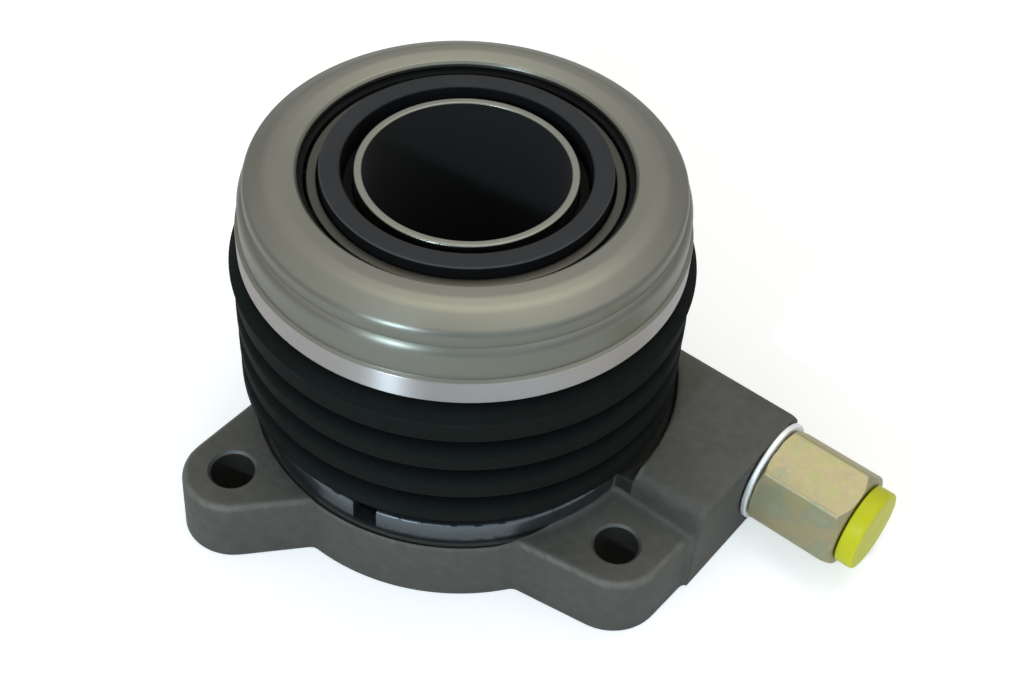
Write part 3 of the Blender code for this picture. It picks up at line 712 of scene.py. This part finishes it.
def boot_recipe():
    rule = Recipe("folded_boot")
    size = {name: rule.size(name, value) for name, value in BOOT_SIZES.items()}
    grid = rule.add("GeometryNodeMeshGrid", {"Size X": 1.0, "Size Y": 1.0,
                                             "Vertices X": size["Around"] + 1,
                                             "Vertices Y": size["Along"]})
    here = rule.add("GeometryNodeInputPosition")
    across, up = (way + 0.5 for way in rule.parts(here)[:2])
    run = (1 - up) * (size["Flat"] + size["Top"] - size["Foot"])
    z = size["Top"] - (run - size["Flat"]).most(0.0)
    share = ((z - size["Highest ridge edge"]) / size["Pitch"]).fraction()
    folds = ((share - 0.36) / 0.46).eased() * (1 - ((share - 0.87) / 0.13).eased())
    folded = z.over(size["Foot step height"] + 3.0, 0.01) \
        * z.under(size["Highest ridge edge"] + 0.02, 0.01)
    stepped = 1 - ((z - size["Foot step height"]) / size["Foot step"]).eased()
    bead = ((z - size["Bead height"] + 1.7) / 1.7).eased() * size["Bead"]
    cuff = (z - size["Bead height"]).most(0.0) * size["Cuff slope"]
    radius = (size["Ridge radius"] - folds * folded * size["Valley depth"]
              - stepped * (size["Ridge radius"] - size["Foot radius"]) + bead - cuff)
    radius = radius.least(size["Flat inner radius"] + run) * MM
    angle = across * (2 * math.pi)
    rolled = rule.place(grid, rule.vector(angle.cosine() * radius, angle.sine() * radius,
                                          z * MM))
    skin = rule.add("GeometryNodeMergeByDistance", {"Geometry": rolled,
                                                    "Distance": 0.000001})
    x, y, level = rule.parts(here)
    out_x, out_y, _ = rule.parts(rule.add("ShaderNodeVectorMath", {
        0: rule.vector(x, y, 0.0)}, operation="NORMALIZE"))
    lid = level.over((size["Top"] - 0.1) * MM, 0.00005)
    inwards = rule.vector(out_x * (lid - 1), out_y * (lid - 1), lid * -1)
    inner = rule.add("GeometryNodeExtrudeMesh", {
        "Mesh": skin, "Individual": False, "Offset": inwards,
        "Offset Scale": size["Wall"] * MM})
    lining = rule.add("GeometryNodeFlipFaces", {"Mesh": inner})
    both = rule.add("GeometryNodeJoinGeometry", {"Geometry": [skin, lining]})
    return rule, both


boot_rule, boot_shape = boot_recipe()
boot = boot_rule.grow("rubber_boot", boot_shape, boot_rubber, sharp=55)
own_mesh(boot)
dress(boot, "boot", "housing")

# %% [markdown]
# The rings seen down the middle: the tube's bright rim, the piston's neck with
# its wiper, the black sleeve that carries the bearing, and the inner race.

# %% Rings in the middle
TUBE_IN, TUBE_R, TUBE_H = 18.87, 20.42, 71.4
NECK_R, PISTON_IN, PISTON_R = 22.40, 20.72, 24.27
CARRIER_IN, CARRIER_R, RACE_IN, FACE_R = 22.70, 26.60, 26.90, 28.90
PITCH_R, BALL_R, BALL_Z, GROOVE = 33.80, 4.0, 62.4, 4.3
RACE_Z, RACE_TOP, CARRIER_Z, FLANGE_Z, FLANGE_R = 55.4, 70.1, 51.5, 53.7, 38.07
SLEEVE_TOP, OUTER_TOP = 72.3, 69.0
CYL_OUT, CYL_IN, WALL_TOP = 28.17, 24.57, 36.7

RINGS = [
    ("guide_sleeve_tube", "guide_tube", "housing", tube_steel, 224, [
        (TUBE_R, TUBE_H, 0.35), (TUBE_R, 2.9, 0.4), (CYL_OUT - 0.3, 2.9, 0.2),
        (CYL_OUT - 0.3, 1.7, 0.2), (TUBE_IN, 1.7, 0.9), (TUBE_IN, TUBE_H, 0.3)]),
    ("bearing_sleeve", "bearing_carrier", "thrust", sleeve_plastic, 224, [
        (CARRIER_R, SLEEVE_TOP, 0.5), (CARRIER_R, FLANGE_Z, 0.3),
        (FLANGE_R, FLANGE_Z, 0.3), (FLANGE_R, CARRIER_Z, 0.3), (34.07, CARRIER_Z),
        (33.7, CARRIER_Z + 0.6), (25.9, CARRIER_Z + 0.6), (25.3, CARRIER_Z),
        (CARRIER_IN, CARRIER_Z, 0.2), (CARRIER_IN, SLEEVE_TOP, 0.6)]),
    ("piston_body", "piston", "thrust", piston_plastic, 160, [
        (NECK_R, 66.0, 0.3), (NECK_R, 51.0), (PISTON_R - 0.9, 51.0, 0.2),
        (PISTON_R - 0.9, 34.5), (PISTON_R, 34.2, 0.1), (PISTON_R, 28.8, 0.4),
        (PISTON_IN, 28.8, 0.1), (PISTON_IN, 66.0, 0.2)]),
    ("tube_wiper", "wiper_ring", "thrust", seal_rubber, 160, [
        (NECK_R, 67.8, 0.2), (NECK_R, 66.3), (PISTON_IN + 0.5, 66.3), (PISTON_IN, 67.8)]),
    ("inner_bearing_race", "inner_race", "thrust", race_steel, 192, [
        (FACE_R, RACE_TOP, 0.35), (FACE_R, BALL_Z + 3.2)]
        + arc((PITCH_R, BALL_Z), GROOVE, 180, 251, 12) + [
        (PITCH_R - 1.4, RACE_Z + 1.2), (PITCH_R - 2.0, RACE_Z, 0.3),
        (RACE_IN, RACE_Z, 0.3), (RACE_IN, RACE_TOP, 0.35)]),
    ("outer_bearing_race", "outer_race", "rotor", race_steel, 192, [
        (37.8, OUTER_TOP), (38.7, OUTER_TOP - 2.2), (39.7, OUTER_TOP - 4.6),
        (39.7, BALL_Z - BALL_R, 0.3), (38.1, BALL_Z - BALL_R)]
        + arc((PITCH_R, BALL_Z), GROOVE, 0, 71, 12) + [(PITCH_R + 1.4, OUTER_TOP)]),
    ("dust_ring_rubber", "dust_ring", "rotor", seal_rubber, 160, [
        (36.4, 70.3, 0.2), (36.4, 69.3, 0.2), (29.4, 69.3, 0.2), (29.4, 70.3, 0.2)]),
    ("lower_shield_plate", "lower_shield", "rotor", plain_steel, 160, [
        (40.0, 57.1, 0.2), (40.0, 56.3, 0.2), (33.1, 56.3, 0.2), (33.1, 57.1, 0.2)]),
    ("foot_clamp_ring", "boot_foot_ring", "housing", plain_steel, 128, [
        (35.57, 17.7, 0.2), (35.57, 14.3, 0.2), (34.47, 14.3, 0.2), (34.47, 17.7, 0.2)]),
    ("spring_seat_plate", "spring_seat", "housing", plain_steel, 128, [
        (33.07, 15.8, 0.2), (33.07, 14.3, 0.2), (28.47, 14.3, 0.2), (28.47, 15.8, 0.2)])]

for name, node, body, finish, steps, outline in RINGS:
    dress(turned(name, outline, finish, steps=steps), node, body)

# %% [markdown]
# Two helpers serve the shapes that aren't turned: one runs a Boolean with a tool
# that it then removes, and one builds a closed solid through stacked outlines.

# %% Booleans
def combine(body, tool, operation):
    step = body.modifiers.new("combine", "BOOLEAN")
    step.operation, step.solver, step.object = operation, "MANIFOLD", tool
    baked(body)
    bpy.data.objects.remove(tool, do_unlink=True)
    return body


def layered(name, layers, finish):
    """A closed solid through outlines with equal numbers of (x, y, z) points."""
    count = len(layers[0])
    points = [tuple(c * MM for c in p) for layer in layers for p in layer]
    faces = [tuple(reversed(range(count)))]
    for k in range(len(layers) - 1):
        low, high = k * count, (k + 1) * count
        for i in range(count):
            j = (i + 1) % count
            faces.append((low + i, low + j, high + j, high + i))
    faces.append(tuple(range(len(points) - count, len(points))))
    return mesh_object(name, points, faces, finish)


print("boolean helpers ready")

# %% [markdown]
# The fitting: a bright crush washer, a hexagon adapter with chamfered ends, and
# the yellow plug that keeps dirt out until the hose is fitted. The hexagon is a
# prism cut by a turned body, as the real one is turned from hexagon bar.

# %% Fitting
HEX_LOW, HEX_HIGH, HEX_AF, HEX_TURN = 61.8, 80.2, 19.0, -15.0
PLUG_LOW, PLUG_END, PLUG_R, PLUG_TIP = 80.5, 84.2, 8.4, 71.5


def make_adapter():
    corner = HEX_AF / math.sqrt(3)
    body = turned("hose_adapter_hex", [
        (corner - 1.3, HEX_HIGH, 0.5), (corner + 0.1, HEX_HIGH - 1.6),
        (corner + 0.1, HEX_LOW + 0.9), (corner - 1.2, HEX_LOW, 0.2), (5.9, HEX_LOW),
        (5.9, 46.5), (2.0, 46.5), (2.0, HEX_HIGH - 11), (5.3, HEX_HIGH - 11),
        (5.3, HEX_HIGH, 0.3)], adapter_zinc, steps=144, along_x=True)
    ring = []
    for x in (HEX_LOW - 30, HEX_HIGH + 5):
        layer = []
        for k in range(6):
            for side in (-1, 0, 1):
                t = math.radians(HEX_TURN + 60 * k + side * 2.2)
                reach = corner * (0.985 if side == 0 else 0.9805)
                layer.append((x, PORT_Y - reach * math.sin(t), PORT_Z + reach * math.cos(t)))
        ring.append(layer)
    combine(body, layered("hexagon", ring, adapter_zinc), "INTERSECT")
    return tidy(body, 25)


dress(make_adapter(), "hose_adapter", "housing")
dress(turned("bright_crush_washer", [
    (10.7, 61.5, 0.35), (10.7, 60.3, 0.35), (6.3, 60.3, 0.1), (6.3, 61.5, 0.1)],
    washer_metal, steps=128, along_x=True), "crush_washer", "housing")
dress(turned("yellow_plug", [
    (PLUG_R, PLUG_END, 0.6), (PLUG_R, PLUG_LOW, 0.3), (4.9, PLUG_LOW),
    (4.6, PLUG_TIP, 0.3), (3.0, PLUG_TIP), (3.0, PLUG_LOW + 1.5), (0, PLUG_LOW + 1.5),
    (0, PLUG_END)], plug_plastic, steps=128, along_x=True),
    "port_plug", "plug")

# %% [markdown]
# The housing is cast in one piece, so its edges and inside corners are soft.
# The plate, lugs, arm and collar are joined as crisp solids, then remeshed to
# fine voxels and smoothed, which rounds everything the way a mould does. What
# is machined on the real one is cut afterwards, so it stays sharp.

# %% Casting blocks
LUG_R, PLATE_R, VOXEL = 9.8, 42.35, 0.48
ARM_TOP, ARM_FRONT, ARM_BACK = 21.5, -1.4, 33.9
INNER = {"left": [(-0.2, -35.8, 3.0), (-20.0, -20.0, 3.0), (-25.3, -24.0, 3.0)],
         "right": [(56.2, 2.0, 2.6), (30.0, 6.0, 3.0), (23.6, -22.7, 3.0)],
         "rear": [(-35.5, 7.5, 3.0), (-24.0, 10.0, 3.0), (3.5, 35.0, 3.0)]}


def hull(corners, inset):
    """Outline round circles (x, y, radius) that are given anticlockwise."""
    points, count = [], len(corners)
    for i, (x, y, r) in enumerate(corners):
        turns = []
        for a, b in ((corners[i - 1], corners[i]), (corners[i], corners[(i + 1) % count])):
            dx, dy = b[0] - a[0], b[1] - a[1]
            tilt = math.asin((a[2] - b[2]) / math.hypot(dx, dy))
            turns.append(math.atan2(dy, dx) - math.pi / 2 + tilt)
        if turns[1] < turns[0]:
            turns[1] += 2 * math.pi
        for t in np.linspace(turns[0], turns[1], 16):
            points.append((x + (r - inset) * math.cos(t), y + (r - inset) * math.sin(t)))
    return points


def lug(key):
    azimuth, reach = LUGS[key]
    x, y, _ = polar(azimuth, reach)
    corners = [(x, y, LUG_R)] + INNER[key]
    levels = ((-1.5, -0.5), (PLATE_T - 0.9, 0.0), (PLATE_T - 0.35, 0.25), (PLATE_T, 0.9))
    return layered("lug", [[(px, py, z) for px, py in hull(corners, inset)]
                           for z, inset in levels], cast_aluminium)


def arm():
    section = [(ARM_FRONT - 0.3, -1.5), (ARM_FRONT + 0.4, ARM_TOP - 3.4)]
    section += arc((ARM_FRONT + 3.7, ARM_TOP - 3.2), 3.2, 165, 90, 8)
    section += arc((ARM_BACK - 4.0, ARM_TOP - 4.0), 4.0, 90, 0, 10)
    section += [(ARM_BACK + 0.5, -1.5)]
    middle = (PORT_Y - 6.0, PORT_Z - 2.0)
    layers = []
    for x, inset in ((12.0, 0.0), (ARM_END - 0.6, 0.0), (ARM_END, 0.4), (ARM_END + 2, 0.4)):
        ring = []
        for y, z in section:
            if z > 0:
                length = math.hypot(y - middle[0], z - middle[1])
                y += (middle[0] - y) / length * inset
                z += (middle[1] - z) / length * inset
            ring.append((x, y, z))
        layers.append(list(reversed(ring)))
    return layered("arm", layers, cast_aluminium)


def disc(name, outline, steps=160):
    return turned(name, outline, cast_aluminium, steps=steps)


def tube(name, outer, inner, top, bottom):
    return disc(name, [(outer, top), (outer, bottom), (inner, bottom), (inner, top)])


print("casting blocks ready")

# %% [markdown]
# The blocks become one skin. Where that skin bends outwards it is stored as an
# attribute, which the casting's finish reads for its rubbed edges.

# %% Casting
def measure_wear(obj):
    """Store how convex the surface is at each point, for worn bright edges."""
    mesh = obj.data
    places = np.empty(len(mesh.vertices) * 3)
    mesh.vertices.foreach_get("co", places)
    places = places.reshape(-1, 3)
    normals = np.array([v.normal[:] for v in mesh.vertices])
    ends = np.empty(len(mesh.edges) * 2, int)
    mesh.edges.foreach_get("vertices", ends)
    a, b = ends.reshape(-1, 2).T
    step = places[b] - places[a]
    length = np.maximum(np.einsum("ij,ij->i", step, step), 1e-12)
    bend = np.zeros(len(places))
    count = np.zeros(len(places))
    for here, sign in ((a, -1), (b, 1)):
        np.add.at(bend, here, sign * np.einsum("ij,ij->i", step, normals[here]) / length)
        np.add.at(count, here, 1)
    bend = bend / np.maximum(count, 1) * MM
    for _ in range(3):
        spread = np.zeros(len(places))
        np.add.at(spread, a, bend[b])
        np.add.at(spread, b, bend[a])
        bend = 0.5 * bend + 0.5 * spread / np.maximum(count, 1)
    worn = np.clip((bend - 0.10) / 0.25, 0, 1)
    store = mesh.attributes.new("worn_edge", "FLOAT", "POINT")
    store.data.foreach_set("value", worn.astype(np.float32))
    print("worn share", round(float((worn > 0.5).mean()), 3))


def make_housing():
    body = disc("cast_housing", [(PLATE_R - 0.5, PLATE_T, 1.6), (PLATE_R, -1.5),
                                 (25.5, -1.5), (25.5, PLATE_T)])
    for key in LUGS:
        block = lug(key)
        combine(block, tube("room", 32.9, 1.0, 30, -9), "DIFFERENCE")
        combine(body, block, "UNION")
    block = arm()
    for r, low in ((32.9, -9.0), (38.87, PLATE_T - 0.6), (ARM_STEP_R, PLATE_T + COLLAR_H)):
        combine(block, tube("room", r, 1.0, 40, low), "DIFFERENCE")
    combine(body, block, "UNION")
    combine(body, tube("collar", COLLAR_R, COLLAR_IN, PLATE_T + COLLAR_H, PLATE_T - 1),
            "UNION")
    remesh = body.modifiers.new("skin", "REMESH")
    remesh.mode, remesh.voxel_size = "VOXEL", VOXEL * MM
    baked(body)
    smooth = body.modifiers.new("soften", "SMOOTH")
    smooth.factor, smooth.iterations = 0.5, 8
    baked(body)
    measure_wear(body)
    print("casting skin", len(body.data.polygons), "faces")
    thin = body.modifiers.new("thin", "DECIMATE")
    thin.ratio = 0.55
    baked(body)
    return body


housing = make_housing()
POCKETS, POCKET_IN, POCKET_OUT, POCKET_TOP = (-62.0, 55.0, 175.0), 31.8, 38.0, 7.5
NOTCH = (-80, -73)


def machine(body):
    """Cut what is machined on the real casting."""
    cuts = [disc("below", [(90, 0), (90, -8), (0, -8), (0, 0)], 32),
            disc("bore", [(CYL_IN, 60), (CYL_IN, 9.6), (20.72, 9.6), (20.72, 3.2),
                          (22.32, 3.2), (22.32, 5.7), (25.72, 5.7), (25.72, 3.2),
                          (CYL_OUT, 3.2), (CYL_OUT, 1.5), (29.37, 1.5), (29.37, 0.4),
                          (CYL_OUT, 0.4), (CYL_OUT, -12), (0, -12), (0, 60)])]
    for azimuth, reach in LUGS.values():
        x, y, _ = polar(azimuth, reach)
        hole = disc("bolt", [(BOLT_R + 2.6, PLATE_T + 2), (BOLT_R, PLATE_T - 0.6, 0.3),
                             (BOLT_R, -2), (0, -2), (0, PLATE_T + 2)], 96)
        hole.data.transform(Matrix.Translation((x * MM, y * MM, 0)))
        cuts.append(hole)
    cuts.append(layered("end_face", [[(x, y, z) for x, y in (
        (ARM_END, -10), (90, -10), (90, 50), (ARM_END, 50))] for z in (-9, 40)],
        cast_aluminium))
    cuts.append(turned("port", [(6.2, 64), (6.2, 44.5), (0, 44.5), (0, 64)],
                       cast_aluminium, steps=96, along_x=True))
    cuts.append(turned("gallery", [(1.8, 45), (1.8, 20), (0, 20), (0, 45)],
                       cast_aluminium, steps=32, along_x=True))
    for azimuth in POCKETS:
        layers = []
        for z, grow in ((-1.0, 0.4), (POCKET_TOP, 0.0)):
            ring = [polar(azimuth + t, r, z)
                    for r, span in ((POCKET_IN - grow, (-20, 20)), (POCKET_OUT + grow, (20, -20)))
                    for t in np.linspace(span[0], span[1], 24)]
            layers.append(list(reversed(ring)))
        cuts.append(layered("pocket", layers, cast_aluminium))
    layers = []
    for z, grow in ((GROOVE_Z, 0.0), (PLATE_T + 1.5, 0.4)):
        turns = np.linspace(GROOVE_FROM, GROOVE_TO, 160)
        inside = [polar(t, COLLAR_R + 0.05, z) for t in turns]
        outside = [polar(t, COLLAR_R + 0.1 + (GROOVE_R - COLLAR_R + grow)
                         * min(1, (GROOVE_TO - t) / GROOVE_RUN_OUT,
                               (t - GROOVE_FROM) / GROOVE_RUN_OUT), z)
                   for t in reversed(turns)]
        layers.append(list(reversed(inside + outside)))
    cuts.append(layered("collar_groove", layers, cast_aluminium))
    inner, outer = COLLAR_IN - 2, COLLAR_R + 2
    corners = ((NOTCH[0], inner), (NOTCH[0], outer), (NOTCH[1], outer), (NOTCH[1], inner))
    cuts.append(layered("notch", [[polar(azimuth, r, z) for azimuth, r in corners]
                                  for z in (PLATE_T + 0.1, PLATE_T + COLLAR_H + 4)],
                        cast_aluminium))
    for tool in cuts:
        combine(body, tool, "DIFFERENCE")
    wall = disc("wall", [(CYL_OUT, WALL_TOP, 0.3), (CYL_OUT, 9.0), (CYL_IN, 9.0),
                         (CYL_IN, WALL_TOP - 2.4), (25.87, WALL_TOP - 2.4),
                         (25.87, WALL_TOP - 0.9), (CYL_IN, WALL_TOP - 0.9),
                         (CYL_IN, WALL_TOP, 0.2)])
    combine(body, wall, "UNION")
    return tidy(body, 40)


machine(housing)
dress(housing, "housing", "housing")

# %% [markdown]
# The preload spring sits round the cylinder wall under the boot. Its wire follows
# a rule: the first and the last turn lie almost flat, which makes a seat, and the
# turns between them rise evenly.

# %% Preload spring
SPRING_LOW, SPRING_HIGH, WIRE_R, COIL_R = 17.7, 49.7, 1.5, 30.97
PER_TURN, TURNS = 48, 5


def spring_recipe():
    rule = Recipe("coiled_spring")
    low, high = rule.size("Lowest", SPRING_LOW), rule.size("Highest", SPRING_HIGH)
    coil, wire = rule.size("Coil radius", COIL_R), rule.size("Wire radius", WIRE_R)
    turns, points = rule.size("Turns", float(TURNS)), rule.size("Points", TURNS * PER_TURN + 1)
    seat = wire * 2 + 0.4
    line = rule.add("GeometryNodeResampleCurve", {
        "Curve": rule.add("GeometryNodeCurvePrimitiveLine"), "Count": points})
    turn = rule.add("GeometryNodeInputIndex") / PER_TURN
    rise = (high - low - seat * 2) / (turns - 2)
    z = (low + seat * turn.least(1.0) + rise * (turn - 1).most(0.0).least(turns - 2)
         + seat * (turn - turns + 1).most(0.0))
    angle = turn * (2 * math.pi)
    path = rule.place(line, rule.vector(angle.cosine() * coil * MM,
                                        angle.sine() * coil * MM, z * MM))
    section = rule.add("GeometryNodeCurvePrimitiveCircle", {"Resolution": 16,
                                                            "Radius": wire * MM})
    return rule, rule.add("GeometryNodeCurveToMesh", {
        "Curve": path, "Profile Curve": section, "Fill Caps": True})


spring_rule, spring_shape = spring_recipe()
spring = spring_rule.grow("coiled_preload_spring", spring_shape, dark_steel)
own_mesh(spring)
dress(spring, "preload_spring", "housing")

# %% [markdown]
# Fourteen balls run between the races, each in a round pocket of the cage. Both
# come from the same circle of points: a sphere is placed on each point, and a
# short cylinder that lies along the radius is cut out of a thin band.

# %% Balls and cage
BALL_COUNT, CAGE_WALL = 14, 1.4


def ball_circle(rule):
    count, pitch = rule.size("Balls", BALL_COUNT), rule.size("Pitch radius", PITCH_R)
    height = rule.size("Height", BALL_Z)
    ring = rule.add("GeometryNodeMeshCircle", {"Vertices": count, "Radius": pitch * MM})
    lift = rule.vector(0.0, 0.0, height * MM)
    return pitch, lift, rule.place(ring, offset=lift)


def ball_recipe():
    rule = Recipe("ring_of_balls")
    _, _, ring = ball_circle(rule)
    ball = rule.add("GeometryNodeMeshUVSphere", {
        "Segments": 32, "Rings": 16, "Radius": rule.size("Ball radius", BALL_R) * MM})
    return rule, rule.add("GeometryNodeInstanceOnPoints", {"Points": ring,
                                                           "Instance": ball})


def cage_recipe():
    rule = Recipe("ball_cage_band")
    pitch, lift, ring = ball_circle(rule)
    wall, tall = rule.size("Wall", CAGE_WALL), rule.size("Band height", 9.6)
    band, room = (rule.place(rule.add("GeometryNodeMeshCylinder", {
        "Vertices": 224, "Radius": (pitch + wall * side) * MM,
        "Depth": (tall + more) * MM}), offset=lift)
        for side, more in ((0.5, 0.0), (-0.5, 4.0)))
    pocket = rule.add("GeometryNodeMeshCylinder", {
        "Vertices": 48, "Radius": rule.size("Pocket radius", 4.4) * MM, "Depth": 0.008})
    outwards = rule.add("FunctionNodeAlignRotationToVector", {
        "Vector": rule.add("ShaderNodeVectorMath", {
            0: rule.add("GeometryNodeInputPosition"), 1: lift}, operation="SUBTRACT")},
        axis="Z")
    pockets = rule.add("GeometryNodeInstanceOnPoints", {
        "Points": ring, "Instance": pocket, "Rotation": outwards})
    holes = rule.add("GeometryNodeRealizeInstances", {"Geometry": pockets})
    hollow = rule.add("GeometryNodeMeshBoolean", {"Mesh 1": band, "Mesh 2": [room]},
                      operation="DIFFERENCE", solver="EXACT")
    return rule, rule.add("GeometryNodeMeshBoolean", {"Mesh 1": hollow, "Mesh 2": [holes]},
                          operation="DIFFERENCE", solver="EXACT")


ball_rule, ball_shape = ball_recipe()
balls = ball_rule.grow("ring_of_balls", ball_shape, ball_steel)
dress(balls, "ball_01", "cage", *["ball_%02d" % k for k in range(2, BALL_COUNT + 1)])
cage_rule, cage_shape = cage_recipe()
dress(cage_rule.grow("pressed_ball_cage", cage_shape, cage_brass), "ball_cage", "cage")

# %% [markdown]
# The rest is hidden inside and keeps its CAD mesh with a real finish: the packing,
# clips and the wave washer are seen only when the part is taken apart.

# %% Inner pieces
INNER_FINISH = {"tube_seal": seal_rubber, "piston_seal": seal_rubber,
                "tube_clip": dark_steel, "stop_ring": dark_steel,
                "wave_washer": dark_steel, "support_ring": ring_plastic}
for name, finish in INNER_FINISH.items():
    mesh = frame["nodes"][name].data
    mesh.materials.clear()
    mesh.materials.append(finish.material)
print("inner pieces dressed", len(INNER_FINISH))
